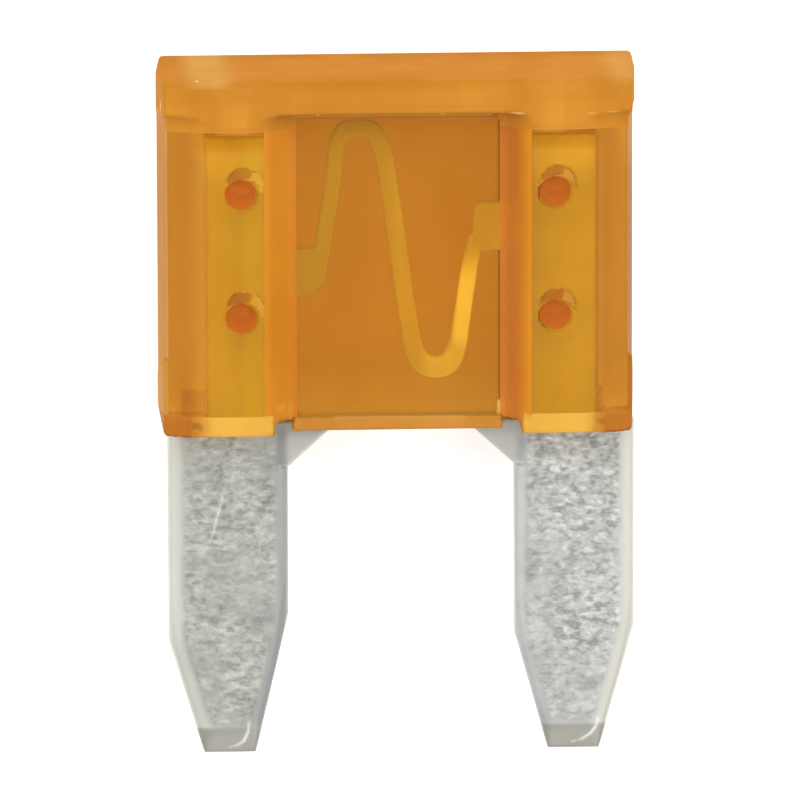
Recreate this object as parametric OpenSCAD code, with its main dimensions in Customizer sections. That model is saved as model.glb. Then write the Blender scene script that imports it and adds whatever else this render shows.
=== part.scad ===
// Small automotive blade fuse, lying flat on its back.
// A one-piece moulded housing is open at its seating face; a one-piece stamped
// element is pushed in from there and held by plastic staked into its holes.
// +X is to the right, +Y towards the head, +Z out of the front face.
// The origin is under the middle of the whole outline, on the plane it lies on.

/* [Housing] */
// Width of the housing across both blades
housing_w = 11.1; // [10.8:0.1:11.4]
// Height of the housing from its seating face to the top of its head
housing_h = 8.4; // [8.3:0.1:9]
// Thickness of the housing over its head and ribs
housing_t = 3.6; // [3.5:0.1:4]
// Height of the head band above the middle panel
head_h = 0.8; // [0.5:0.1:0.9]
// How far the middle panel lies below the ribs, front and back
panel_recess = 0.6; // [0.3:0.1:0.7]
// Half width of the middle panel
panel_half = 2.45; // [2.2:0.05:2.6]
// Distance from the middle to a rib's inner edge
rib_inner = 3.1; // [3:0.05:3.15]
// Distance from the middle to a rib's outer edge
rib_outer = 4.75; // [4.4:0.05:4.9]
// How far the outer corners slope back beside the ribs
corner_drop = 0.4; // [0.2:0.05:0.5]
// Small chamfer around the head
head_chamfer = 0.1; // [0.05:0.01:0.2]
// How far each narrow side slopes in from its middle line to the front and back
side_draft = 0.1; // [0.02:0.01:0.12]
// The same where the side is cut back further, below the head
side_fall = 0.2; // [0.15:0.01:0.25]
// Height at which that cut begins
side_fall_h = 1.2; // [0.5:0.1:3]

/* [Seating face] */
// Height of the bevel along the foot of each rib
rib_bevel_h = 0.46; // [0.2:0.02:0.6]
// Depth of the bevel along the foot of each rib
rib_bevel_d = 0.18; // [0.1:0.02:0.3]
// Height of the bevel along the foot of the middle panel
panel_bevel_h = 0.34; // [0.2:0.02:0.5]
// Depth of the bevel along the foot of the middle panel
panel_bevel_d = 0.16; // [0.08:0.02:0.24]
// Height of the bevel on the two narrow sides
side_bevel_h = 0.4; // [0.2:0.05:0.6]
// Depth of the bevel on the two narrow sides
side_bevel_d = 0.1; // [0.05:0.01:0.15]
// Height of the notch between panel and rib
notch_h = 0.3; // [0.1:0.05:0.5]
// Outer side of that notch, from the middle
notch_outer = 2.87; // [2.7:0.01:3]

/* [Inside the housing] */
// Half depth of the chamber around the link
chamber_half_t = 0.7; // [0.6:0.05:0.8]
// Half width of the chamber around the link
chamber_half_w = 2.6; // [2.4:0.05:2.7]
// Height of the chamber's ceiling above the seating face
chamber_h = 7.4; // [7.35:0.05:7.6]
// Clearance between element and slot on each face
slot_clearance = 0.025; // [0.01:0.005:0.05]
// Half width of the slot that takes the two plates
slot_half_w = 4.7; // [4.66:0.01:4.8]

/* [Stakes] */
// Distance from the middle to the staking dimples
stake_x = 3.65; // [3.6:0.05:3.8]
// Height of the upper staking dimples
stake_high = 5.74; // [5:0.02:6]
// Height of the lower staking dimples
stake_low = 2.82; // [2.2:0.02:3]
// Radius of a dimple at the rib's face
dimple_r = 0.38; // [0.34:0.02:0.6]
// Radius of a dimple at its bottom
dimple_floor_r = 0.32; // [0.2:0.02:0.34]
// Depth of a dimple
dimple_depth = 0.6; // [0.4:0.05:1.1]
// Length of the plastic peg that a dimple pushes into the element
peg_len = 0.3; // [0.1:0.05:0.35]

/* [Element] */
// Thickness of the strip in the blades and plates
strip_t = 0.8; // [0.6:0.05:0.8]
// Length of the blades below the housing
blade_len = 7.9; // [7:0.05:8.2]
// Width of a blade
blade_w = 2.8; // [2.6:0.05:2.85]
// Distance between the middles of the two blades
blade_pitch = 8.1; // [8:0.05:8.15]
// Width of a blade at its tip
tip_w = 1.2; // [0.8:0.1:1.6]
// Distance below the housing where the blades' outer edges begin to taper
taper_outer = 5.06; // [4:0.02:6]
// Distance below the housing where the blades' inner edges begin to taper
taper_inner = 4.82; // [4:0.02:6]
// How much lower that is on the left blade's outer edge than on average
taper_skew_outer = 0.13; // [0:0.01:0.2]
// The same for its inner edge
taper_skew_inner = -0.27; // [-0.3:0.01:0]
// Width of the coined bevels along the blades' edges
coin_w = 0.26; // [0.1:0.02:0.4]
// Depth of those bevels on each face
coin_d = 0.13; // [0.05:0.01:0.2]
// Length of the thinned tip
tip_bevel_h = 0.65; // [0.3:0.05:1]
// How much each face of the tip is thinned
tip_bevel_d = 0.2; // [0.1:0.02:0.28]
// Distance from the middle to a plate's inner edge
plate_inner = 3.1; // [3.05:0.01:3.2]
// Distance from the middle to a plate's outer edge
plate_outer = 4.5; // [4.3:0.05:4.52]
// Height of the plates' tops above the seating face
plate_top = 6.9; // [6.5:0.05:6.95]
// Radius of the holes that the stakes fill
hole_r = 0.4; // [0.3:0.02:0.42]
// Thickness of the thinned link and its tabs
link_t = 0.3; // [0.2:0.02:0.5]
// Width of the link's middle leg
link_w = 0.41; // [0.3:0.01:0.5]
// How far the element sits to the right of the housing's middle
element_shift = 0.12; // [-0.12:0.02:0.14]

/* [Hidden] */
$fn = 64;
e = 0.01;
total_h = housing_h + blade_len;
seat_y = blade_len - total_h / 2;
half_w = housing_w / 2;
half_t = housing_t / 2;
panel_z = half_t - panel_recess;
slot_half_t = strip_t / 2 + slot_clearance;
slot_h = plate_top + 0.1;
blade_in = blade_pitch / 2 - blade_w / 2;
blade_out = blade_pitch / 2 + blade_w / 2;
tip_in = blade_pitch / 2 - tip_w / 2 - 0.02;
tip_out = tip_in + tip_w;
// The outline's middle, from which both pieces' places are measured
outline_mid = (min(-element_shift / 2 - half_w, element_shift / 2 - blade_out)
    + max(element_shift / 2 + blade_out, half_w - element_shift / 2)) / 2;
housing_x = -element_shift / 2 - outline_mid;
element_x = element_shift / 2 - outline_mid;
gusset_x = 1.55;
gusset_h = 1;
foot_h = 0.1;

// Left tab: its height range; right tab likewise
tab_left = [3.03, 4.15];
tab_right = [4.15, 5.2];
tab_end = 1.73;

// Middle line of the link, from the left tab up, down and up to the right one
link_mid = [
    [-1.82, 3.95], [-1.78, 4.4], [-1.7, 4.91], [-1.58, 5.6], [-1.52, 6.25],
    [-1.42, 6.72], [-1.2, 6.99], [-0.94, 7.05], [-0.66, 6.93], [-0.44, 6.53],
    [-0.32, 5.99], [-0.16, 4.9], [0.06, 3.28], [0.2, 2.3], [0.3, 1.77],
    [0.5, 1.4], [0.84, 1.27], [1.16, 1.4], [1.32, 1.77], [1.4, 2.2],
    [1.48, 2.74], [1.58, 3.44], [1.67, 3.95], [1.78, 4.4]
];
// Width of the link at each of those points, as a share of link_w
link_share = [
    0.9, 0.9, 0.88, 0.88, 0.88,
    0.95, 1.05, 1.1, 1.05, 1,
    1, 1, 1, 1, 1.05,
    1.1, 1.12, 1.1, 1.02, 0.92,
    0.88, 0.88, 0.88, 0.9
];
link_steps = 5;

// A point on the smooth curve through four neighbours
function spline(a, b, c, d, t) =
    0.5 * (2 * b + (c - a) * t + (2 * a - 5 * b + 4 * c - d) * t * t
        + (3 * b - a - 3 * c + d) * t * t * t);
function smooth(v) = concat(
    [for (i = [0:len(v) - 2], k = [0:link_steps - 1])
        spline(v[max(i - 1, 0)], v[i], v[i + 1], v[min(i + 2, len(v) - 1)], k / link_steps)],
    [v[len(v) - 1]]);
function unit(v) = v / norm(v);
function dir_at(v, i) = unit(v[min(i + 1, len(v) - 1)] - v[max(i - 1, 0)]);
function side(v, w, s) =
    [for (i = [0:len(v) - 1]) let (d = dir_at(v, i)) v[i] + s * w[i] / 2 * [-d[1], d[0]]];
function back(v) = [for (i = [len(v) - 1:-1:0]) v[i]];

// Front right corner of a section, repeated round both middle lines
function ring(q) = concat(
    q,
    [for (p = back(q)) [p[0], -p[1]]],
    [for (p = q) [-p[0], -p[1]]],
    [for (p = back(q)) [-p[0], p[1]]]);

// Places things made about the seating face and the middle of the strip
module laid(x) {
    translate([x, seat_y, half_t]) children();
}

// Extrudes a section drawn across the fuse along its height
module upright(from, to) {
    translate([0, to, 0]) rotate([90, 0, 0]) linear_extrude(to - from) children();
}

// The same thing on the front and on the back, or on the right and on the left
module both_faces() {
    children();
    mirror([0, 0, 1]) children();
}

module both_sides() {
    children();
    mirror([1, 0, 0]) children();
}

// A cut along the foot of a face at z: h high, d deep, from x0 to x1
module foot_bevel(x0, x1, z, h, d) {
    translate([x1, 0, 0]) rotate([0, -90, 0]) linear_extrude(x1 - x0)
        polygon([[z - d - d * 0.5 / h, -0.5], [z, h], [z + 1, h], [z + 1, -0.5]]);
}

module housing_shell() {
    upright(0, housing_h - head_h)
        polygon(ring([[panel_half, panel_z], [rib_inner, half_t],
            [rib_outer, half_t], [half_w - side_draft, half_t - corner_drop], [half_w, 0.02]]));
    upright(housing_h - head_h - e, housing_h)
        polygon(ring([[half_w - side_draft - head_chamfer, half_t],
            [half_w - side_draft, half_t - head_chamfer], [half_w, 0.02]]));
}

module head_top_chamfers() {
    c = head_chamfer;
    both_faces()
        translate([half_w + 1, housing_h, half_t]) rotate([0, -90, 0])
            linear_extrude(housing_w + 2) polygon([[-c, e], [e, -c], [e, e]]);
    both_sides()
        translate([half_w, housing_h, -half_t - 1])
            linear_extrude(housing_t + 2) polygon([[-c, e], [e, -2 * c], [e, e]]);
}

module seating_bevels() {
    both_faces() {
        both_sides()
            foot_bevel(notch_outer - e, half_w + 1, half_t, rib_bevel_h, rib_bevel_d);
        foot_bevel(-panel_half - e, panel_half + e, panel_z, panel_bevel_h, panel_bevel_d);
        both_sides()
            translate([panel_half, -0.5, slot_half_t - 0.1])
                cube([notch_outer - panel_half, notch_h + 0.5, half_t]);
    }
    both_sides()
        translate([half_w, 0, -half_t - 1]) linear_extrude(housing_t + 2)
            polygon([[-side_bevel_d * (1 + 0.5 / side_bevel_h), -0.5], [0, side_bevel_h],
                [1, side_bevel_h], [1, -0.5]]);
}

// Takes the narrow sides down from their middle line to the corners' edges
module side_falls() {
    edge = half_t - corner_drop;
    both_faces() both_sides()
        intersection() {
            upright(side_fall_h - e, housing_h - head_h)
                polygon([[half_w, 0], [half_w - side_fall, edge],
                    [half_w - side_fall, half_t], [half_w + 1, half_t], [half_w + 1, 0]]);
            translate([half_w + 2, 0, 0]) rotate([0, -90, 0]) linear_extrude(3)
                polygon([[0, side_fall_h], [half_t + 1, side_fall_h + 0.45 * (half_t + 1)],
                    [half_t + 1, housing_h + 1], [0, housing_h + 1]]);
        }
}

module housing_hollows() {
    // chamber around the link, open at the seating face
    translate([-chamber_half_w, -1, -chamber_half_t])
        cube([2 * chamber_half_w, chamber_h + 1, 2 * chamber_half_t]);
    // slot for the plates
    translate([-slot_half_w, -1, -slot_half_t])
        cube([2 * slot_half_w, slot_h + 1, 2 * slot_half_t]);
}

module at_stakes(x) {
    for (sx = [-1, 1], h = [stake_low, stake_high])
        translate([sx * x, h, 0]) children();
}

module dimples() {
    both_faces() at_stakes(stake_x)
        translate([0, 0, half_t - dimple_depth])
            cylinder(h = dimple_depth, r1 = dimple_floor_r, r2 = dimple_r);
}

module pegs() {
    // they fill the element's holes, so they stand where those are
    both_faces() translate([element_shift, 0, 0]) at_stakes(stake_x)
        translate([0, 0, slot_half_t - peg_len])
            cylinder(h = peg_len + 0.1, r = hole_r - 0.04);
}

module housing() {
    color([0.85, 0.53, 0.14, 0.75]) laid(housing_x) {
        difference() {
            housing_shell();
            head_top_chamfers();
            seating_bevels();
            side_falls();
            housing_hollows();
            dimples();
        }
        pegs();
    }
}

// One blade with its plate and gusset, on the right, tapering from to and ti down
module blade_outline(to, ti) {
    polygon([
        [gusset_x, foot_h], [gusset_x, 0], [blade_in, -gusset_h],
        [blade_in, -ti], [tip_in, -blade_len], [tip_out, -blade_len],
        [blade_out, -to], [blade_out, 0], [plate_outer, 0],
        [plate_outer, plate_top], [plate_inner, plate_top], [plate_inner, foot_h]
    ]);
}

// Coined bevel on the front of the edge from a to b, with the metal on its left
module coin(a, b, w, d, more_a, more_b) {
    n = norm(b - a);
    translate([a[0], a[1], strip_t / 2])
        rotate([0, 0, atan2(b[1] - a[1], b[0] - a[0])])
            translate([-more_a, 0, 0]) rotate([90, 0, 90])
                linear_extrude(n + more_a + more_b)
                    polygon([[w, 0], [w, 1], [-1, 1], [-1, -d * (w + 1) / w]]);
}

module blade_bevels(to, ti) {
    both_faces() {
        coin([blade_in, -gusset_h], [blade_in, -ti], coin_w * 0.7, coin_d * 0.8, 0, 1);
        coin([blade_in, -ti], [tip_in, -blade_len], coin_w, coin_d, 1, 1);
        coin([tip_out, -blade_len], [blade_out, -to], coin_w, coin_d, 1, 1);
        coin([blade_out, -to], [blade_out, 0], coin_w, coin_d, 1, 0);
        coin([tip_in, -blade_len], [tip_out, -blade_len], tip_bevel_h, tip_bevel_d, 2, 2);
    }
}

module half_element(to, ti) {
    difference() {
        translate([0, 0, -strip_t / 2]) linear_extrude(strip_t) blade_outline(to, ti);
        blade_bevels(to, ti);
        for (h = [stake_low, stake_high])
            translate([stake_x, h, -strip_t]) cylinder(h = 2 * strip_t, r = hole_r);
    }
}

module link_outline() {
    mid = smooth(link_mid);
    widths = [for (s = smooth([for (v = link_share) [v, 0]])) s[0] * link_w];
    polygon(concat(side(mid, widths, 1), back(side(mid, widths, -1))));
    // left tab, its lower right corner rounded
    r = 0.55;
    polygon(concat(
        [[-plate_inner - 0.1, tab_left[1]], [-plate_inner - 0.1, tab_left[0]]],
        [for (a = [-90:10:0]) [-tab_end - r + r * cos(a), tab_left[0] + r + r * sin(a)]],
        [[-tab_end + 0.05, tab_left[1]]]));
    // right tab, its upper left corner eased
    polygon(concat(
        [[plate_inner + 0.1, tab_right[0]], [plate_inner + 0.1, tab_right[1]]],
        [for (a = [90:15:180]) [tab_end + 0.2 + 0.2 * cos(a), tab_right[1] - 0.2 + 0.2 * sin(a)]],
        [[tab_end - 0.1, tab_right[0] - 0.1], [tab_end + 0.2, tab_right[0] - 0.12]]));
}

module fuse_element() {
    color([0.75, 0.77, 0.77]) laid(element_x) {
        half_element(taper_outer - taper_skew_outer, taper_inner - taper_skew_inner);
        mirror([1, 0, 0])
            half_element(taper_outer + taper_skew_outer, taper_inner + taper_skew_inner);
        translate([0, 0, -link_t / 2]) linear_extrude(link_t) link_outline();
    }
}

housing();
fuse_element();
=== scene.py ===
"""Looks of a small automotive blade fuse: a see-through amber housing moulded in one piece,
and a stamped zinc element whose blades are crinkled on their flats and smooth along their edges.

Both pieces are modelled as rounded solids, described by signed distances in millimetres,
and meshed here. x is across the fuse, h is the height above the housing's seating face and
z is measured from the middle of the strip, out of the front face."""

import math

import bpy
import numpy as np
from mathutils import Matrix, Vector


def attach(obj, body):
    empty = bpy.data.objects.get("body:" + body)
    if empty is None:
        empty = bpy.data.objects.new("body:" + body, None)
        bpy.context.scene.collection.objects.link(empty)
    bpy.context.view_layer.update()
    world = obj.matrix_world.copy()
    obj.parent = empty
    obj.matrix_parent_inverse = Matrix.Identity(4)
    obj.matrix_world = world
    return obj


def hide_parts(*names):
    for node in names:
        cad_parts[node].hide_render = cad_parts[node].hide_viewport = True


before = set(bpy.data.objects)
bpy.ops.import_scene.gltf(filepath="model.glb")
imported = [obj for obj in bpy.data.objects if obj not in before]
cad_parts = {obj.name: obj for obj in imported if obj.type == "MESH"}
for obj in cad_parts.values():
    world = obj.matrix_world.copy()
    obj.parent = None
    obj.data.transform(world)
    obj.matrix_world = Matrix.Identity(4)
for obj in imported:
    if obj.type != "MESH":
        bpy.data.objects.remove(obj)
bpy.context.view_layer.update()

# ---------------------------------------------------------------- sizes, in mm, as in the CAD
HW, HH, HALF_T = 5.55, 8.4, 1.8
HEAD_H, PANEL_Z, PANEL_X = 0.8, 1.2, 2.45
RIB_IN, RIB_OUT, CORNER_DROP = 3.1, 4.75, 0.4
SIDE_DRAFT, SIDE_FALL, SIDE_FALL_H = 0.1, 0.2, 1.2
BLADE_LEN, STRIP_T, SHIFT = 7.9, 0.8, 0.12
HOUSING_X, ELEMENT_X = -0.01, 0.11
SEAT_Y = BLADE_LEN - (HH + BLADE_LEN) / 2
B_IN, B_OUT, TIP_IN, TIP_OUT = 2.65, 5.45, 3.43, 4.63
COIN_W, COIN_D, TIP_BEVEL_H, TIP_BEVEL_D = 0.26, 0.13, 0.65, 0.2
STAKES = (2.82, 5.74)
STAKE_X, PIT_Z = 3.65, 1.2

LINK_MID = [
    (-1.82, 3.95), (-1.78, 4.4), (-1.7, 4.91), (-1.58, 5.6), (-1.52, 6.25),
    (-1.42, 6.72), (-1.2, 6.99), (-0.94, 7.05), (-0.66, 6.93), (-0.44, 6.53),
    (-0.32, 5.99), (-0.16, 4.9), (0.06, 3.28), (0.2, 2.3), (0.3, 1.77),
    (0.5, 1.4), (0.84, 1.27), (1.16, 1.4), (1.32, 1.77), (1.4, 2.2),
    (1.48, 2.74), (1.58, 3.44), (1.67, 3.95), (1.78, 4.4)]
LINK_SHARE = [
    0.9, 0.9, 0.88, 0.88, 0.88, 0.95, 1.05, 1.1, 1.05, 1,
    1, 1, 1, 1, 1.05, 1.1, 1.12, 1.1, 1.02, 0.92,
    0.88, 0.88, 0.88, 0.9]
LINK_W, LINK_T = 0.41, 0.3


# ---------------------------------------------------------------- distances
def join(a, b, r):
    """Union of two solids with a fillet of radius r."""
    u, v = np.maximum(r - a, 0), np.maximum(r - b, 0)
    return np.maximum(r, np.minimum(a, b)) - np.sqrt(u * u + v * v)


def meet(a, b, r):
    """Intersection of two solids with a rounded edge of radius r."""
    u, v = np.maximum(r + a, 0), np.maximum(r + b, 0)
    return np.minimum(-r, np.maximum(a, b)) + np.sqrt(u * u + v * v)


def cut(a, b, r):
    return meet(a, -b, r)


def line(u, v, p0, p1):
    """Signed distance from the line through p0 and p1, positive on its left."""
    dx, dy = p1[0] - p0[0], p1[1] - p0[1]
    n = math.hypot(dx, dy)
    return ((v - p0[1]) * dx - (u - p0[0]) * dy) / n


def polygon(u, v, pts):
    """Signed distance from a closed outline, negative inside."""
    d2 = np.full(u.shape, 1e9)
    inside = np.zeros(u.shape, bool)
    n = len(pts)
    for i in range(n):
        ax, ay = pts[i]
        bx, by = pts[(i + 1) % n]
        ex, ey = bx - ax, by - ay
        wx, wy = u - ax, v - ay
        t = np.clip((wx * ex + wy * ey) / (ex * ex + ey * ey + 1e-12), 0, 1)
        qx, qy = wx - ex * t, wy - ey * t
        d2 = np.minimum(d2, qx * qx + qy * qy)
        c = (ay > v) != (by > v)
        if ey:
            inside ^= c & (u < (bx - ax) * (v - ay) / ey + ax)
    d = np.sqrt(d2)
    return np.where(inside, -d, d)


def fade(x, a, b):
    t = np.clip((x - a) / (b - a), 0, 1)
    return t * t * (3 - 2 * t)


def gnoise(x, y, z, seed=0):
    """Smooth gradient noise, about -1 to 1, the same on every run."""
    xi, yi, zi = (np.floor(c).astype(np.int64) for c in (x, y, z))
    xf, yf, zf = x - xi, y - yi, z - zi

    def corner(dx, dy, dz):
        n = ((xi + dx) * 73856093) ^ ((yi + dy) * 19349663) ^ ((zi + dz) * 83492791) ^ (seed * 2654435)
        n = (n ^ (n >> 13)) * 1274126177 & 0x7FFFFFFF
        n = (n ^ (n >> 16)) * 1911520717 & 0x7FFFFFFF
        a = (n & 0xFFFF) / 65536.0 * 2 * math.pi
        c = ((n >> 15) & 0xFFFF) / 32768.0 - 1
        s = np.sqrt(np.maximum(0, 1 - c * c))
        return (np.cos(a) * s * (xf - dx) + np.sin(a) * s * (yf - dy) + c * (zf - dz))

    fx, fy, fz = (c * c * c * (c * (c * 6 - 15) + 10) for c in (xf, yf, zf))
    m = lambda a, b, t: a + (b - a) * t
    x00, x10 = m(corner(0, 0, 0), corner(1, 0, 0), fx), m(corner(0, 1, 0), corner(1, 1, 0), fx)
    x01, x11 = m(corner(0, 0, 1), corner(1, 0, 1), fx), m(corner(0, 1, 1), corner(1, 1, 1), fx)
    return m(m(x00, x10, fy), m(x01, x11, fy), fz) * 1.6


# ---------------------------------------------------------------- the housing
def sd_housing(x, h, z):
    ax, az = np.abs(x), np.abs(z)
    slant = line(ax - 0.14 * ((z < 0) & (x > 0)), az, (RIB_IN, HALF_T), (PANEL_X, PANEL_Z)) * -1
    corner = line(ax, az, (RIB_OUT, HALF_T), (HW - SIDE_DRAFT, HALF_T - CORNER_DROP))
    rib_foot = line(h, az, (0.0, HALF_T - 0.18), (0.46, HALF_T))
    rib = meet(meet(az - HALF_T, slant, 0.16), corner, 0.35)
    rib = meet(rib, rib_foot, 0.05)
    panel_foot = line(h, az, (0.0, PANEL_Z - 0.16), (0.34, PANEL_Z))
    panel = meet(az - PANEL_Z, panel_foot, 0.05)
    body = join(rib, panel, 0.1)
    body = np.maximum(body, h - (HH - 0.4))
    edge = HALF_T - CORNER_DROP
    side = ((ax - HW) * edge + az * SIDE_DRAFT) / math.hypot(edge, SIDE_DRAFT)
    side_foot = line(h, ax, (0.0, HW - 0.1), (0.4, HW))
    body = meet(body, meet(side, side_foot, 0.05), 0.06)
    fall = ((ax - HW) * edge + az * SIDE_FALL) / math.hypot(edge, SIDE_FALL)
    start = (h - SIDE_FALL_H - 0.45 * az) / math.hypot(1, 0.45)
    body = cut(body, np.maximum(-fall, -start), 0.05)
    end = np.where((x > 0) & (z < 0), ax - HW - 0.03 + 0.02 * z, side)
    head = meet(meet(az - HALF_T, h - HH, 0.12), end, 0.08)
    head = meet(head, (HH - HEAD_H) - h, 0.09)
    d = np.maximum(join(body, head, 0.28), np.maximum(az - HALF_T, end))
    d = meet(d, -h, 0.03)

    chamber = meet(meet(ax - 2.6, az - 0.7, 0.1), h - 7.4, 0.1)
    slot = meet(meet(np.abs(x - SHIFT) - 4.55, az - 0.425, 0.09), h - 6.96, 0.09)
    d = cut(d, join(chamber, slot, 0.06), 0.03)

    notch = np.maximum(np.maximum(np.abs(ax - 2.66) - 0.21, h - 0.3), 0.325 - az)
    d = cut(d, notch, 0.03)
    for hh in STAKES:
        rr = np.sqrt((ax - STAKE_X) ** 2 + (h - hh) ** 2)
        wall = (rr - 0.32 - 0.1 * (az - PIT_Z)) * 0.995
        d = cut(d, meet(wall, PIT_Z - az, 0.1), 0.05)
        for s in (-1, 1):
            rp = np.sqrt((x - s * STAKE_X - SHIFT) ** 2 + (h - hh) ** 2)
            d = np.minimum(d, np.maximum(rp - 0.39, az - 0.6))
    return d


# ---------------------------------------------------------------- the element
def spline(pts, steps):
    p = [np.array(q, float) for q in pts]
    out = []
    n = len(p)
    for i in range(n - 1):
        a, b, c, d = p[max(i - 1, 0)], p[i], p[i + 1], p[min(i + 2, n - 1)]
        for k in range(steps):
            t = k / steps
            out.append(0.5 * (2 * b + (c - a) * t + (2 * a - 5 * b + 4 * c - d) * t * t
                              + (3 * b - a - 3 * c + d) * t ** 3))
    out.append(p[-1])
    return np.array(out)


def ribbon():
    mid = spline(LINK_MID, 5)
    w = spline([(s, 0) for s in LINK_SHARE], 5)[:, 0] * LINK_W
    n = len(mid)
    left, right = [], []
    for i in range(n):
        d = mid[min(i + 1, n - 1)] - mid[max(i - 1, 0)]
        d /= np.hypot(*d)
        s = np.array((-d[1], d[0]))
        left.append(tuple(mid[i] + s * w[i] / 2))
        right.append(tuple(mid[i] - s * w[i] / 2))
    return left + right[::-1]


def arc(cx, cy, r, a0, a1, n):
    return [(cx + r * math.cos(math.radians(a0 + (a1 - a0) * i / n)),
             cy + r * math.sin(math.radians(a0 + (a1 - a0) * i / n))) for i in range(n + 1)]


TAPERS = {-1: (5.19, 4.55), 1: (4.93, 5.09)}    # outer and inner, on the left and on the right


def blade(side):
    outer, inner = TAPERS[side]
    return [(1.55, 0.1), (1.55, 0.0), (B_IN, -1.0), (B_IN, -inner), (TIP_IN, -BLADE_LEN),
            (TIP_OUT, -BLADE_LEN), (B_OUT, -outer), (B_OUT, 0.0), (4.5, 0.0),
            (4.5, 6.9), (3.1, 6.9), (3.1, 0.1)]


RIBBON = ribbon()
TAB_L = ([(-3.2, 4.15), (-3.2, 3.03)] + arc(-1.73 - 0.55, 3.03 + 0.55, 0.55, -90, 0, 8) + [(-1.68, 4.15)])
TAB_R = ([(3.2, 4.15), (3.2, 5.2)] + arc(1.93, 5.0, 0.2, 90, 180, 5) + [(1.63, 4.05), (1.93, 4.03)])


def element_plan(x, h):
    """Distances seen from the front: blades and plates, link and tabs."""
    ax = np.abs(x)
    strip = np.where(x < 0, polygon(ax, h, blade(-1)), polygon(ax, h, blade(1)))
    for hh in STAKES:
        strip = np.maximum(strip, 0.4 - np.sqrt((ax - STAKE_X) ** 2 + (h - hh) ** 2))
    near = (ax < 3.4) & (h > 0.8) & (h < 7.6)
    link = np.full(x.shape, 9.0)
    if near.any():
        a, b = x[near], h[near]
        s = np.minimum(polygon(a, b, RIBBON), np.minimum(polygon(a, b, TAB_L), polygon(a, b, TAB_R)))
        link[near] = s
    return strip, link


def edge_in(x, h):
    """How far inside the blade's edges a point is: outer, inner and tip."""
    ax = np.abs(x)
    out = []
    for side in (-1, 1):
        to, ti = TAPERS[side]
        out.append((
            -meet(line(ax, h, (B_OUT, 0), (B_OUT, -9)), line(ax, h, (B_OUT, -to), (TIP_OUT, -BLADE_LEN)), 0.3),
            -meet(line(ax, h, (B_IN, -9), (B_IN, 0)), line(ax, h, (TIP_IN, -BLADE_LEN), (B_IN, -ti)), 0.3)))
    left = x < 0
    return (np.where(left, out[0][0], out[1][0]), np.where(left, out[0][1], out[1][1]), h + BLADE_LEN)


def sd_element(x, h, z, plan=None):
    ax, az = np.abs(x), np.abs(z)
    strip, link = plan if plan is not None else element_plan(x, h)
    t = STRIP_T / 2
    d = meet(strip, az - t, 0.05)
    outer, inner, tip = edge_in(x, h)
    flat = az - t
    def bevel(e, w, k):
        return (flat + (w - e) * k / w) / math.hypot(1, k / w)
    d = meet(d, bevel(outer, COIN_W, COIN_D), 0.1)
    d = meet(d, bevel(tip, TIP_BEVEL_H, TIP_BEVEL_D), 0.1)
    inn = np.minimum(bevel(inner, COIN_W * 0.8, COIN_D), -(h + 1.0))
    d = meet(d, inn, 0.06)
    d = join(d, meet(link, az - LINK_T / 2, 0.04), 0.03)
    return d


def turned(x, h, a):
    c, s = math.cos(a), math.sin(a)
    return x * c - h * s, x * s + h * c


def crinkle(x, h, z):
    """The uneven flats of the blades, as a height from about -1 to 1."""
    side = np.where(z > 0, 0.0, 31.0)
    wx = 0.35 * gnoise(*turned(x * 1.9, h * 1.9, 0.6), side + 0.5, 3)
    wy = 0.8 * gnoise(*turned(x * 2.3, h * 2.3, 1.1), side + 0.5, 4)
    n1 = gnoise(*turned(x * 2.9 + wx, h * 6.4 + wy, 0.12), side + 0.31, 5)
    n2 = gnoise(*turned(x * 4.6 - wy, h * 9.6 + wx, -0.25), side + 0.67, 6)
    return n1 + 0.8 * n2


def segment(x, h, a, b):
    """Distance from the line between two points."""
    ex, ey = b[0] - a[0], b[1] - a[1]
    t = np.clip(((x - a[0]) * ex + (h - a[1]) * ey) / (ex * ex + ey * ey), 0, 1)
    return np.hypot(x - a[0] - t * ex, h - a[1] - t * ey)


def glints(x, h, z):
    """Bright lines on the front: a slanting scratch, and painted highlights along the tips' curved creases."""
    out = 0.0
    for a, b, w, v in (
            ((-4.10, -1.32), (-4.19, -1.72), 0.014, 0.35), ((-4.19, -1.72), (-4.26, -2.02), 0.02, 0.5),
            ((-4.26, -2.02), (-4.35, -2.28), 0.026, 0.75), ((-4.35, -2.28), (-4.37, -2.46), 0.026, 0.7),
            ((-4.37, -2.46), (-4.47, -2.72), 0.02, 0.5), ((-3.58, -7.12), (-3.62, -7.38), 0.03, 0.6),
            ((-3.62, -7.38), (-3.72, -7.6), 0.032, 0.75), ((-3.72, -7.6), (-3.88, -7.71), 0.03, 0.6),
            ((-3.88, -7.71), (-4.05, -7.75), 0.02, 0.4), ((4.60, -7.15), (4.55, -7.34), 0.03, 0.5),
            ((4.55, -7.34), (4.42, -7.52), 0.032, 0.7), ((4.42, -7.52), (4.22, -7.66), 0.03, 0.7),
            ((4.22, -7.66), (3.98, -7.73), 0.02, 0.4)):
        out = np.maximum(out, v * np.exp(-(segment(x, h, a, b) / w) ** 2))
    return 0.8 * out * (z > 0)


def leg(x, h):
    """1 on the link's right leg, where a painted highlight and a faint glow stand in for its shine."""
    up = fade(x, 1.1, 1.35) * (1 - fade(x, 1.75, 1.95)) * fade(h, 1.4, 2.1) * (1 - fade(h, 3.3, 4.2))
    bend = fade(x, 0.35, 0.7) * (1 - fade(h, 1.5, 2.0)) * fade(h, 0.8, 1.0) * (1 - fade(x, 1.8, 2.2))
    return np.maximum(up, 0.45 * bend)


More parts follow.
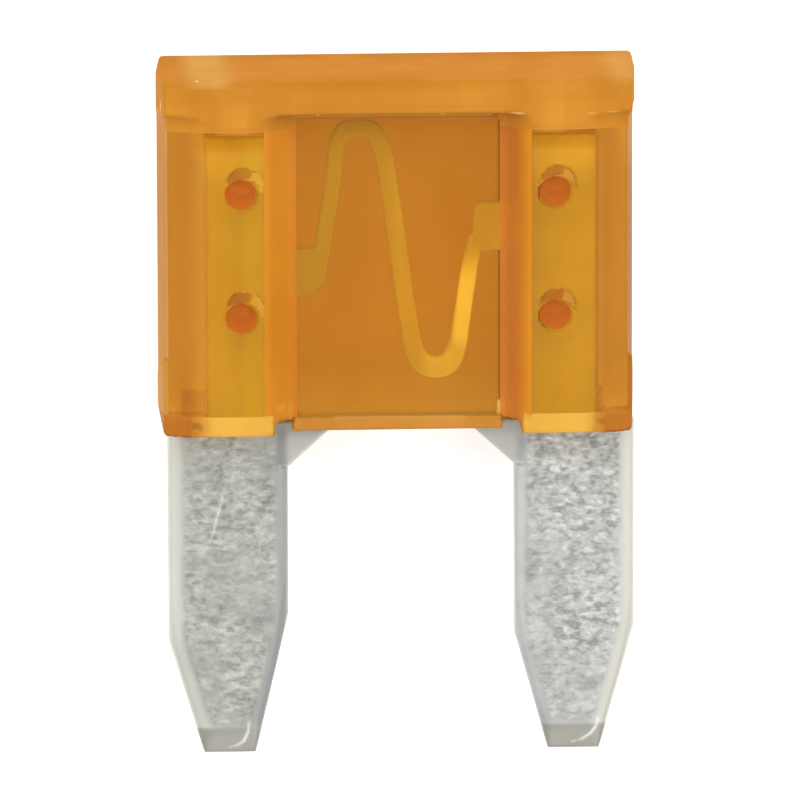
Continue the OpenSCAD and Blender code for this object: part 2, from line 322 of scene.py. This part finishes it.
def crinkled(x, h):
    """1 on the blades' flats, 0 on their smooth edges, tips and inside the housing."""
    outer, inner, tip = edge_in(x, h)
    w = 0.035 * gnoise(x * 1.7, h * 1.7, 0.5, 9)
    m = fade(outer + w, COIN_W - 0.02, COIN_W + 0.16) * fade(inner + w, COIN_W - 0.06, COIN_W + 0.1)
    return m * fade(tip + w, TIP_BEVEL_H - 0.02, TIP_BEVEL_H + 0.12) * fade(-h, -0.05, 0.1)


# ---------------------------------------------------------------- meshing
def nets(f, lo, hi, cell):
    """One vertex for each cell that the surface passes through, and a quad for each crossed edge."""
    lo, hi = np.array(lo, float), np.array(hi, float)
    n = np.ceil((hi - lo) / cell).astype(int) + 1
    ax = [lo[i] + cell * np.arange(n[i]) for i in range(3)]
    v = f(ax)
    s = v < 0
    c = [(i, j, k) for i in (0, 1) for j in (0, 1) for k in (0, 1)]
    part = lambda a, i, j, k: a[i:n[0] - 1 + i, j:n[1] - 1 + j, k:n[2] - 1 + k]
    count = sum(part(s, *q).astype(np.int8) for q in c)
    live = (count > 0) & (count < 8)
    ids = np.full(live.shape, -1, np.int64)
    ids[live] = np.arange(live.sum())
    at = np.argwhere(live)
    val = {q: part(v, *q)[live] for q in c}
    pos = np.zeros((len(at), 3))
    hits = np.zeros(len(at))
    for a in c:
        for axis in range(3):
            if a[axis]:
                continue
            b = tuple(1 if i == axis else a[i] for i in range(3))
            va, vb = val[a], val[b]
            x = (va < 0) != (vb < 0)
            t = np.where(x, va / np.where(x, va - vb, 1), 0)
            p = np.array(a, float)[None, :].repeat(len(at), 0)
            p[:, axis] += t
            pos[x] += p[x]
            hits[x] += 1
    pos = lo + (at + pos / hits[:, None]) * cell
    quads = []
    for axis in range(3):
        u, w = (axis + 1) % 3, (axis + 2) % 3
        a = [slice(None)] * 3
        b = [slice(None)] * 3
        a[axis], b[axis] = slice(0, n[axis] - 1), slice(1, n[axis])
        sa, sb = s[tuple(a)], s[tuple(b)]
        e = np.argwhere(sa != sb)
        e = e[(e[:, u] > 0) & (e[:, w] > 0) & (e[:, u] < n[u] - 1) & (e[:, w] < n[w] - 1)]
        first = sa[e[:, 0], e[:, 1], e[:, 2]]
        q = []
        for du, dw in ((1, 1), (0, 1), (0, 0), (1, 0)):
            g = e.copy()
            g[:, u] -= du
            g[:, w] -= dw
            q.append(ids[g[:, 0], g[:, 1], g[:, 2]])
        q = np.stack(q, 1)
        q[~first] = q[~first][:, ::-1]
        quads.append(q)
    return pos, np.concatenate(quads)


def slope(f, p, e=0.004):
    g = np.empty_like(p)
    for i in range(3):
        q, r = p.copy(), p.copy()
        q[:, i] += e
        r[:, i] -= e
        g[:, i] = (f(q) - f(r)) / (2 * e)
    return g


def settle(f, p, cell, rounds=4):
    """Moves the vertices onto the surface."""
    start = p.copy()
    for _ in range(rounds):
        d = f(p)
        g = slope(f, p)
        p = p - g * (d / np.maximum((g * g).sum(1), 0.25))[:, None]
        m = p - start
        far = np.linalg.norm(m, axis=1) / (0.9 * cell)
        p = start + m / np.maximum(far, 1)[:, None]
    return p


def build(name, pos, quads, shift_x, normals=None):
    me = bpy.data.meshes.new(name)
    co = pos.copy()
    co[:, 0] += shift_x
    co[:, 1] += SEAT_Y
    co[:, 2] += HALF_T
    me.from_pydata((co * 0.001).tolist(), [], quads.tolist())
    me.validate(clean_customdata=False)
    me.shade_smooth()
    if normals is not None:
        me.normals_split_custom_set_from_vertices(normals.tolist())
    o = bpy.data.objects.new(name, me)
    bpy.context.scene.collection.objects.link(o)
    return o


def mark(o, name, values):
    """Stores one number for each vertex, for the materials."""
    a = o.data.attributes.new(name, "FLOAT", "POINT")
    a.data.foreach_set("value", np.asarray(values, np.float32))


def f3(fn):
    return lambda p: fn(p[:, 0], p[:, 1], p[:, 2])


def paint_housing(o):
    """Outer walls, the walls of the hollows, and the thick head take their own material."""
    me = o.data
    n = len(me.polygons)
    c = np.empty(n * 3)
    me.polygons.foreach_get("center", c)
    c = c.reshape(-1, 3) * 1000
    x, h, z = np.abs(c[:, 0] - HOUSING_X), c[:, 1] - SEAT_Y, np.abs(c[:, 2] - HALF_T)
    front = c[:, 2] > HALF_T
    slot = np.zeros(n, int)
    slot[x > HW - 0.1 - 0.5 * SIDE_FALL] = 5
    slot[(x > np.where(front | (c[:, 0] < 0), 2.36, 2.52)) & (x < 3.13) & (z > 1.17) & (z < 1.79)] = 8
    slot[(h > 7.22) & (x > 2.36) & (z > 1.15) & (slot != 5)] = 2
    slot[(h > HH - HEAD_H - 0.03)] = 2
    slot[(x < 2.64) & (z < 0.74) & (h < 7.44)] = 1
    slot[(x < 4.74) & (z < 0.46) & (h < 7.2) & ~((x < 2.55) & (z < 0.4))] = 7
    for hh in STAKES:
        slot[(np.hypot(x - STAKE_X, h - hh) < 0.36) & (z > PIT_Z - 0.02) & (z < HALF_T - 0.1)] = 3
    slot[(h < 0.47) & (z < HALF_T - 0.015) & (z > HALF_T - 0.2) & (x > 2.9) & (x < 4.78)] = 4
    slot[(h < 0.5) & (x >= 4.78) & front] = 8
    slot[(h < 0.36) & (z > 0.74) & (x < 2.9) & front] = 6
    me.polygons.foreach_set("material_index", slot)


def make_housing():
    cell = 0.085
    grid = lambda ax: sd_housing(*np.meshgrid(*ax, indexing="ij"))
    pos, quads = nets(grid, (-5.7, -0.13, -1.93), (5.7, 8.57, 1.93), cell)
    f = f3(sd_housing)
    pos = settle(f, pos, cell)
    g = slope(f, pos)
    g /= np.maximum(np.linalg.norm(g, axis=1), 1e-6)[:, None]
    o = build("housing_shell", pos, quads, HOUSING_X, g)
    x, h, z = pos.T
    ax = np.abs(x)
    mark(o, "thick", np.maximum(fade(ax, 4.45, 4.85), fade(h, 6.7, 6.95) * fade(ax, 2.6, 2.9)))
    # painted shade: the head's top face is made darker; painted sheen: two pale patches at its ends stand in for a
    # reflection
    mark(o, "head_top_shade", fade(h, HH - 0.2, HH - 0.02))
    mark(o, "head_top_sheen", fade(h, HH - 0.15, HH - 0.03) * np.maximum(
        fade(x, -5.1, -4.6) * (1 - fade(x, -4.2, -3.6)), 0.7 * fade(x, 4.6, 5.2)))
    # painted shade at the outer corners of the foot and the slopes
    mark(o, "foot_corner_shade", fade(ax, 4.3, 4.78))
    # painted shade: the chamber grows darker towards its open bottom
    mark(o, "under", 1 - fade(h, 0.3, 3.2))
    mark(o, "lit", fade(-x, 2.3, 2.6) * (1 - fade(-x, 3.1, 3.35)))
    # painted highlight: a lighter band along the left rib's inner edge
    mark(o, "left_rib_edge_highlight", fade(-x, 3.05, 3.2) * (1 - fade(-x, 3.4, 3.75)))
    # painted highlight: a lighter band on the right slope along the rib's inner edge
    mark(o, "inner", fade(x, 2.7, 3.1) * (1 - fade(x, 3.3, 3.6)))
    # painted light: the ribs just below the head are made lighter, against the shade the head casts on them
    mark(o, "rib_top_light", fade(h, 5.7, 6.8) * (1 - fade(h, 7.05, 7.2)) * fade(ax, 2.9, 3.2) * (1 - fade(ax, 4.4, 4.7)))
    # painted shade: the right side below the head is made darker
    mark(o, "far", fade(x, 4.95, 5.3) * (1 - fade(h, 6.0, 6.8)))
    return o


def make_element():
    cell = 0.0485

    def grid(ax):
        x, h = np.meshgrid(ax[0], ax[1], indexing="ij")
        plan = element_plan(x, h)
        X, H, Z = np.meshgrid(*ax, indexing="ij")
        return sd_element(X, H, Z, tuple(p[:, :, None] for p in plan))

    pos, quads = nets(grid, (-5.62, -8.03, -0.58), (5.62, 7.45, 0.58), cell)
    f = f3(sd_element)
    pos = settle(f, pos, cell, 3)
    x, h, z = pos.T
    m = crinkled(x, h) * fade(np.abs(z), STRIP_T / 2 - 0.03, STRIP_T / 2 - 0.005)
    worm = crinkle(x, h, z)
    low = gnoise(x * 0.7, h * 0.5, z, 11)
    pos[:, 2] += np.sign(z) * m * (0.009 * worm - 0.002)
    o = build("element_body", pos, quads, ELEMENT_X)
    mark(o, "flat", m * (0.72 + 0.16 * fade(x, -1.0, 1.0)) * (1 - 0.4 * fade(low, 0.0, 0.5)))
    mark(o, "dark", 0.35 + 0.65 * fade(-x, -1.0, 1.0))
    # a real scratch, and painted highlights along the tips' creases
    mark(o, "bright", glints(x, h, z))
    # painted light: the zinc inside the housing is made lighter and yellower than the bare blades, standing in for
    # light reaching it through the amber
    open_to = np.where(np.abs(np.abs(x + SHIFT) - 2.66) < 0.26, 0.27, -0.02)
    mark(o, "hidden", fade(h, open_to, open_to + 0.07))
    # painted light: the plates' tops inside the housing are made lighter, against the shade the head casts
    mark(o, "high", fade(h, 5.6, 6.7) * fade(np.abs(x), 2.9, 3.1))
    # painted light: the link is made lighter still
    mark(o, "link", fade(h, 0.3, 0.6) * (1 - fade(np.abs(x), 2.9, 3.1)))
    mark(o, "leg", leg(x, h))
    mark(o, "dim", fade(h, 0.8, 1.2) * fade(x, -3.0, -2.4) * (1 - fade(x, -0.5, 0.1)))
    outer, inner, tip = edge_in(x, h)
    below = fade(-h, -0.05, 0.25)
    rim = below * (1 - m)
    # painted reflection: the blades' outer bevels are made pale and warm
    mark(o, "outer_bevel_reflection", rim * (1 - fade(outer, 0.2, 0.5)))
    stem = (1 - fade(np.abs(x), 2.6, 2.8)) * below
    # painted shade on the left blade's inner bevel, and a painted shadow on the blades just below the housing
    mark(o, "inner_bevel_and_housing_shadow", rim * (1 - fade(inner, 0.18, 0.4)) * np.where(x < 0, 1.0, 0.0) * fade(tip, 0.4, 0.8) * (1 - stem)
         + 0.5 * (1 - fade(-h, 0.0, 0.4)) * below * (0.6 + 0.4 * low))
    mark(o, "stem", stem)
    mark(o, "tip", (1 - fade(tip, TIP_BEVEL_H - 0.06, TIP_BEVEL_H + 0.02)))
    return o


# ---------------------------------------------------------------- materials
def nodes_of(name):
    m = bpy.data.materials.new(name)
    m.use_nodes = True
    t = m.node_tree
    t.nodes.clear()
    out = t.nodes.new("ShaderNodeOutputMaterial")
    return m, t, out


# painted highlights: glints along the head's lower edge and near its top, a pale mark on the head's left end, and a
# sheen down the left side: where, in mm, and how far each reaches along x, y and z
PAINTED_GLINTS = {"amber_head": (((1.03, 7.36, 3.58), (0.1, 0.035, 0.2), 0.5), ((2.72, 7.36, 3.58), (0.22, 0.045, 0.2), 0.75),
                        ((4.48, 7.36, 3.58), (0.16, 0.03, 0.2), 0.2), ((4.98, 7.38, 3.58), (0.2, 0.03, 0.2), 0.22),
                        ((-5.5, 7.5, 2.9), (0.2, 0.17, 0.12), 0.8),
                        ((-1.87, 7.36, 3.58), (0.05, 0.05, 0.2), 0.6), ((-4.65, 8.13, 3.3), (0.06, 0.06, 0.12), 0.9)),
         "amber_side": (((-5.5, 5.6, 3.25), (0.2, 1.5, 0.1), 0.25),)}


def glint_spots(t, co, spots):
    """1 in the middle of each painted highlight, 0 away from them."""
    total = None
    for centre, reach, level in spots:
        off = t.nodes.new("ShaderNodeVectorMath")
        off.operation = "SUBTRACT"
        t.links.new(co.outputs["Object"], off.inputs[0])
        off.inputs[1].default_value = [v * 0.001 for v in centre]
        by = t.nodes.new("ShaderNodeVectorMath")
        by.operation = "MULTIPLY"
        t.links.new(off.outputs[0], by.inputs[0])
        by.inputs[1].default_value = [1000 / v for v in reach]
        far = t.nodes.new("ShaderNodeVectorMath")
        far.operation = "LENGTH"
        t.links.new(by.outputs[0], far.inputs[0])
        near = t.nodes.new("ShaderNodeMapRange")
        near.interpolation_type = "SMOOTHSTEP"
        near.inputs["From Min"].default_value = 0.3
        near.inputs["From Max"].default_value = 1.1
        near.inputs["To Min"].default_value = level
        near.inputs["To Max"].default_value = 0.0
        t.links.new(far.outputs["Value"], near.inputs["Value"])
        if total is None:
            total = near.outputs[0]
        else:
            both = t.nodes.new("ShaderNodeMath")
            both.operation = "MAXIMUM"
            t.links.new(total, both.inputs[0])
            t.links.new(near.outputs[0], both.inputs[1])
            total = both.outputs[0]
    return total


def amber(name, deep, light, clear, rough, ior):
    """See-through plastic. deep and light are the colours it wavers between."""
    m, t, out = nodes_of(name)
    b = t.nodes.new("ShaderNodeBsdfPrincipled")
    co = t.nodes.new("ShaderNodeTexCoord")
    mp = t.nodes.new("ShaderNodeMapping")
    mp.inputs["Scale"].default_value = (900, 300, 900)
    t.links.new(co.outputs["Object"], mp.inputs["Vector"])
    n = t.nodes.new("ShaderNodeTexNoise")
    n.inputs["Scale"].default_value = 1.0
    n.inputs["Detail"].default_value = 3
    t.links.new(mp.outputs[0], n.inputs["Vector"])
    r = t.nodes.new("ShaderNodeValToRGB")
    r.color_ramp.elements[0].position = 0.3
    r.color_ramp.elements[0].color = deep + (1,)
    r.color_ramp.elements[1].position = 0.7
    r.color_ramp.elements[1].color = light + (1,)
    t.links.new(n.outputs["Fac"], r.inputs[0])
    c = r.outputs[0]
    # walls: a painted highlight on the left rib's edge, painted light on the ribs below the head, painted shade on
    # the right side
    tints = {"amber_walls": (("thick", (0.84, 0.72, 0.46)), ("left_rib_edge_highlight", (1.17, 1.28, 1.0)), ("rib_top_light", (1.18, 1.35, 1.3)),
                             ("far", (0.86, 0.82, 0.75))),
             # slopes: painted highlights along both ribs' inner edges
             "amber_slope": (("lit", (1.18, 1.38, 0.85)), ("inner", (1.24, 1.42, 0.72)),
                             # painted shade at the slopes' outer corners
                             ("foot_corner_shade", (0.86, 0.92, 0.88))),
             # painted shade on the right side
             "amber_side": (("far", (0.82, 0.68, 0.42)),),
             # head: painted shade over the top face and painted sheen patches on it
             "amber_head": (("head_top_shade", (0.95, 0.9, 0.8)), ("head_top_sheen", (1.1, 1.45, 2.7))),
             # painted shade at the foot's outer corners
             "amber_foot": (("foot_corner_shade", (0.68, 0.46, 0.36)),),
             # painted shade towards the chamber's open bottom
             "amber_chamber": (("under", (0.82, 0.82, 0.9)),)}
    if name in tints:
        for mark_name, tint in tints[name]:
            at = t.nodes.new("ShaderNodeAttribute")
            at.attribute_name = mark_name
            x = t.nodes.new("ShaderNodeMix")
            x.data_type = "RGBA"
            x.blend_type = "MULTIPLY"
            t.links.new(at.outputs["Fac"], x.inputs[0])
            t.links.new(c, x.inputs[6])
            x.inputs[7].default_value = tint + (1,)
            c = x.outputs[2]
    # painted highlights: lighter orange spots and streaks on the head and the left side
    if name in PAINTED_GLINTS:
        x = t.nodes.new("ShaderNodeMix")
        x.data_type = "RGBA"
        t.links.new(glint_spots(t, co, PAINTED_GLINTS[name]), x.inputs[0])
        t.links.new(c, x.inputs[6])
        x.inputs[7].default_value = (0.95, 0.62, 0.3, 1)
        c = x.outputs[2]
    t.links.new(c, b.inputs["Base Color"])
    sep = t.nodes.new("ShaderNodeSeparateXYZ")
    t.links.new(co.outputs["Object"], sep.inputs[0])
    off = t.nodes.new("ShaderNodeMath")
    off.operation = "SUBTRACT"
    t.links.new(sep.outputs["X"], off.inputs[0])
    off.inputs[1].default_value = 0.0012
    away = t.nodes.new("ShaderNodeMath")
    away.operation = "ABSOLUTE"
    t.links.new(off.outputs[0], away.inputs[0])
    g = t.nodes.new("ShaderNodeMapRange")
    g.interpolation_type = "SMOOTHSTEP"
    g.inputs["From Min"].default_value = 0.0
    g.inputs["From Max"].default_value = 0.003
    g.inputs["To Min"].default_value = rough[1]
    g.inputs["To Max"].default_value = rough[0]
    t.links.new(away.outputs[0], g.inputs["Value"])
    k = t.nodes.new("ShaderNodeMapRange")
    k.inputs["To Min"].default_value = 0.94
    k.inputs["To Max"].default_value = 1.03
    t.links.new(n.outputs["Fac"], k.inputs["Value"])
    u = t.nodes.new("ShaderNodeMath")
    u.operation = "MULTIPLY"
    t.links.new(g.outputs[0], u.inputs[0])
    t.links.new(k.outputs[0], u.inputs[1])
    t.links.new(u.outputs[0], b.inputs["Roughness"])
    b.inputs["IOR"].default_value = ior
    b.inputs["Transmission Weight"].default_value = clear
    # painted light: the pits glow a little, though they are no lamp
    if name == "amber_pit":
        t.links.new(c, b.inputs["Emission Color"])
        b.inputs["Emission Strength"].default_value = 0.5
    t.links.new(b.outputs[0], out.inputs["Surface"])
    return m


def zinc():
    m, t, out = nodes_of("zinc_alloy")

    def attr(name):
        n = t.nodes.new("ShaderNodeAttribute")
        n.attribute_name = name
        return n.outputs["Fac"]

    def blend(fac, a, b, kind="MIX"):
        n = t.nodes.new("ShaderNodeMix")
        n.data_type = "RGBA"
        n.blend_type = kind
        t.links.new(fac, n.inputs[0])
        for k, v in ((6, a), (7, b)):
            if isinstance(v, tuple):
                n.inputs[k].default_value = v + (1,)
            else:
                t.links.new(v, n.inputs[k])
        return n.outputs[2]

    b = t.nodes.new("ShaderNodeBsdfPrincipled")
    co = t.nodes.new("ShaderNodeTexCoord")
    cloud = t.nodes.new("ShaderNodeTexNoise")
    cloud.inputs["Scale"].default_value = 900
    cloud.inputs["Detail"].default_value = 5
    cloud.inputs["Roughness"].default_value = 0.62
    t.links.new(co.outputs["Object"], cloud.inputs["Vector"])
    grain = t.nodes.new("ShaderNodeTexNoise")
    grain.inputs["Scale"].default_value = 9000
    grain.inputs["Detail"].default_value = 3
    t.links.new(co.outputs["Object"], grain.inputs["Vector"])
    ramp = t.nodes.new("ShaderNodeValToRGB")
    ramp.color_ramp.elements[0].position = 0.3
    ramp.color_ramp.elements[0].color = (0.44, 0.46, 0.455, 1)
    ramp.color_ramp.elements[1].position = 0.68
    ramp.color_ramp.elements[1].color = (0.6, 0.615, 0.59, 1)
    t.links.new(cloud.outputs["Fac"], ramp.inputs[0])
    mp = t.nodes.new("ShaderNodeMapping")
    mp.inputs["Scale"].default_value = (4700, 7600, 4300)
    mp.inputs["Rotation"].default_value = (0, 0, 0.06)
    t.links.new(co.outputs["Object"], mp.inputs["Vector"])
    worm = t.nodes.new("ShaderNodeTexNoise")
    worm.inputs["Scale"].default_value = 1.0
    worm.inputs["Detail"].default_value = 1.5
    worm.inputs["Roughness"].default_value = 0.6
    worm.inputs["Distortion"].default_value = 0.32
    t.links.new(mp.outputs[0], worm.inputs["Vector"])
    # partly the zinc's own mottled grey, partly painted shade in the grooves and painted highlight on the ridges,
    # from the same noise the bump follows
    groove_shade_ridge_light = t.nodes.new("ShaderNodeValToRGB")
    el = groove_shade_ridge_light.color_ramp.elements
    el[0].position, el[0].color = 0.32, (0.31, 0.325, 0.31, 1)
    el[1].position, el[1].color = 0.70, (0.78, 0.81, 0.77, 1)
    for at, v in ((0.43, 0.46), (0.50, 0.55), (0.58, 0.62)):
        e = el.new(at)
        e.color = (v, v * 1.01, v * 0.97, 1)
    t.links.new(worm.outputs["Fac"], groove_shade_ridge_light.inputs[0])
    c = blend(attr("flat"), ramp.outputs[0], groove_shade_ridge_light.outputs[0])
    c = blend(attr("dark"), c, (0.82, 0.82, 0.77), "MULTIPLY")
    c = blend(attr("stem"), c, (0.55, 0.55, 0.51))
    # painted reflection on the outer bevels
    c = blend(attr("outer_bevel_reflection"), c, (0.58, 0.57, 0.5))
    # painted shade on the left inner bevel and painted shadow below the housing
    c = blend(attr("inner_bevel_and_housing_shadow"), c, (0.33, 0.33, 0.32))
    c = blend(attr("tip"), c, (0.34, 0.33, 0.29))
    # painted light on the zinc inside the housing
    c = blend(attr("hidden"), c, (0.78, 0.86, 0.64))
    # painted light on the plates' tops
    c = blend(attr("high"), c, (1.0, 0.98, 0.75))
    # painted light on the link
    c = blend(attr("link"), c, (0.94, 1.0, 0.62))
    c = blend(attr("dim"), c, (0.74, 0.82, 0.5))
    # painted highlight on the link's right leg
    c = blend(attr("leg"), c, (1.0, 1.0, 0.9))
    # a real scratch, and painted highlights along the tips' creases
    c = blend(attr("bright"), c, (1.0, 1.0, 0.97))
    t.links.new(c, b.inputs["Base Color"])
    # painted light: the right leg glows, though it is no lamp
    shine = blend(attr("leg"), (0.0, 0.0, 0.0), (0.45, 0.50, 0.12))
    t.links.new(shine, b.inputs["Emission Color"])
    b.inputs["Emission Strength"].default_value = 1.0
    dull = t.nodes.new("ShaderNodeMapRange")
    dull.inputs["To Min"].default_value = 0.7
    dull.inputs["To Max"].default_value = 0.2
    t.links.new(attr("hidden"), dull.inputs["Value"])
    t.links.new(dull.outputs[0], b.inputs["Metallic"])
    r = t.nodes.new("ShaderNodeMapRange")
    r.inputs["From Min"].default_value = 0.3
    r.inputs["From Max"].default_value = 0.7
    r.inputs["To Min"].default_value = 0.42
    r.inputs["To Max"].default_value = 0.58
    t.links.new(cloud.outputs["Fac"], r.inputs["Value"])
    t.links.new(r.outputs[0], b.inputs["Roughness"])
    fine = t.nodes.new("ShaderNodeBump")
    fine.inputs["Strength"].default_value = 0.35
    fine.inputs["Distance"].default_value = 0.00001
    t.links.new(grain.outputs["Fac"], fine.inputs["Height"])
    crease = t.nodes.new("ShaderNodeBump")
    crease.inputs["Distance"].default_value = 0.000022
    t.links.new(attr("flat"), crease.inputs["Strength"])
    t.links.new(worm.outputs["Fac"], crease.inputs["Height"])
    t.links.new(fine.outputs[0], crease.inputs["Normal"])
    t.links.new(crease.outputs[0], b.inputs["Normal"])
    t.links.new(b.outputs[0], out.inputs["Surface"])
    return m


# ---------------------------------------------------------------- camera, floor and light
def stage_and_camera():
    tilt, yaw, roll, dist = math.radians(12.4), math.radians(2.67), math.radians(0.16), 0.3
    d = Vector((-math.tan(yaw), math.tan(tilt), 1)).normalized()
    aim = Vector((0.000098, 0.000228, 0.0018))
    y = (Vector((0, 1, 0)) - d * d.y).normalized()
    x = y.cross(d)
    c, s = math.cos(roll), math.sin(roll)
    xr, yr = x * c - y * s, y * c + x * s
    cam = bpy.data.cameras.new("camera")
    o = bpy.data.objects.new("camera", cam)
    m = Matrix((xr, yr, d)).transposed().to_4x4()
    m.translation = aim + d * dist
    o.matrix_world = m
    cam.sensor_fit = "HORIZONTAL"
    cam.sensor_width = 36
    cam.lens = 36 * dist / (800 / 42.83 * 0.001)
    cam.clip_start, cam.clip_end = 0.01, 10
    bpy.context.scene.collection.objects.link(o)
    bpy.context.scene.camera = o

    me = bpy.data.meshes.new("floor")
    r = 1.5
    me.from_pydata([(-r, -r, 0), (r, -r, 0), (r, r, 0), (-r, r, 0)], [], [(0, 1, 2, 3)])
    floor = bpy.data.objects.new("floor", me)
    bpy.context.scene.collection.objects.link(floor)
    fm, t, out = nodes_of("floor")
    b = t.nodes.new("ShaderNodeBsdfPrincipled")
    b.inputs["Base Color"].default_value = (0.9, 0.9, 0.9, 1)
    b.inputs["Roughness"].default_value = 1.0
    b.inputs["Specular IOR Level"].default_value = 0.0
    b.inputs["Emission Color"].default_value = (1, 1, 1, 1)
    b.inputs["Emission Strength"].default_value = 0.4
    t.links.new(b.outputs[0], out.inputs["Surface"])
    me.materials.append(fm)

    w = bpy.data.worlds.new("studio")
    w.use_nodes = True
    bg = w.node_tree.nodes["Background"]
    bg.inputs["Color"].default_value = (1, 1, 1, 1)
    bg.inputs["Strength"].default_value = 0.25
    bpy.context.scene.world = w

    def softbox(name, azimuth, height, far, size, level, color=(1, 1, 1)):
        """A soft rectangle of light that faces the fuse; level is how bright it looks."""
        l = bpy.data.lights.new(name, "AREA")
        l.shape = "RECTANGLE"
        l.size, l.size_y = size
        l.energy = level * math.pi * size[0] * size[1]
        l.color = color
        a, e = math.radians(azimuth), math.radians(height)
        at = Vector((math.cos(a) * math.cos(e), math.sin(a) * math.cos(e), math.sin(e))) * far
        o = bpy.data.objects.new(name, l)
        o.matrix_world = at.to_track_quat("Z", "Y").to_matrix().to_4x4()
        o.matrix_world.translation = at
        bpy.context.scene.collection.objects.link(o)

    softbox("left box", 170, 42, 0.5, (0.42, 0.42), 2.3)
    softbox("right box", 10, 42, 0.5, (0.42, 0.42), 2.2)
    softbox("head box", 90, 46, 0.5, (0.42, 0.42), 3.0)
    softbox("foot box", 270, 38, 0.5, (0.42, 0.36), 1.4)
    softbox("glint box", 303, 40, 0.5, (0.1, 0.1), 9.0)
    vs = bpy.context.scene.view_settings
    vs.view_transform = "Standard"


housing = make_housing()
element = make_element()
for name, deep, light, clear, rough, ior in (
        ("amber_walls", (0.80, 0.42, 0.056), (0.85, 0.47, 0.07), 0.85, (0.262, 0.22), 1.15),
        ("amber_chamber", (0.77, 0.55, 0.32), (0.80, 0.59, 0.36), 1.0, (0.11, 0.07), 1.15),
        ("amber_head", (0.50, 0.195, 0.021), (0.57, 0.235, 0.029), 0.15, (0.4, 0.38), 1.02),
        ("amber_pit", (0.385, 0.113, 0.017), (0.43, 0.129, 0.02), 0.1, (0.36, 0.36), 1.02),
        ("amber_foot", (0.92, 0.5, 0.07), (0.97, 0.56, 0.09), 0.5, (0.2, 0.2), 1.18),
        ("amber_side", (0.52, 0.24, 0.048), (0.58, 0.28, 0.062), 0.4, (0.38, 0.38), 1.04),
        ("amber_heel", (0.50, 0.20, 0.027), (0.58, 0.24, 0.036), 0.15, (0.3, 0.3), 1.1),
        ("amber_slot", (0.97, 0.74, 0.29), (0.99, 0.79, 0.34), 1.0, (0.1, 0.08), 1.15),
        ("amber_slope", (0.50, 0.155, 0.021), (0.55, 0.18, 0.027), 0.15, (0.36, 0.36), 1.05)):
    housing.data.materials.append(amber(name, deep, light, clear, rough, ior))
paint_housing(housing)
element.data.materials.append(zinc())
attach(housing, "root")
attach(element, "root")
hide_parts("housing")
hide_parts("fuse_element")
stage_and_camera()
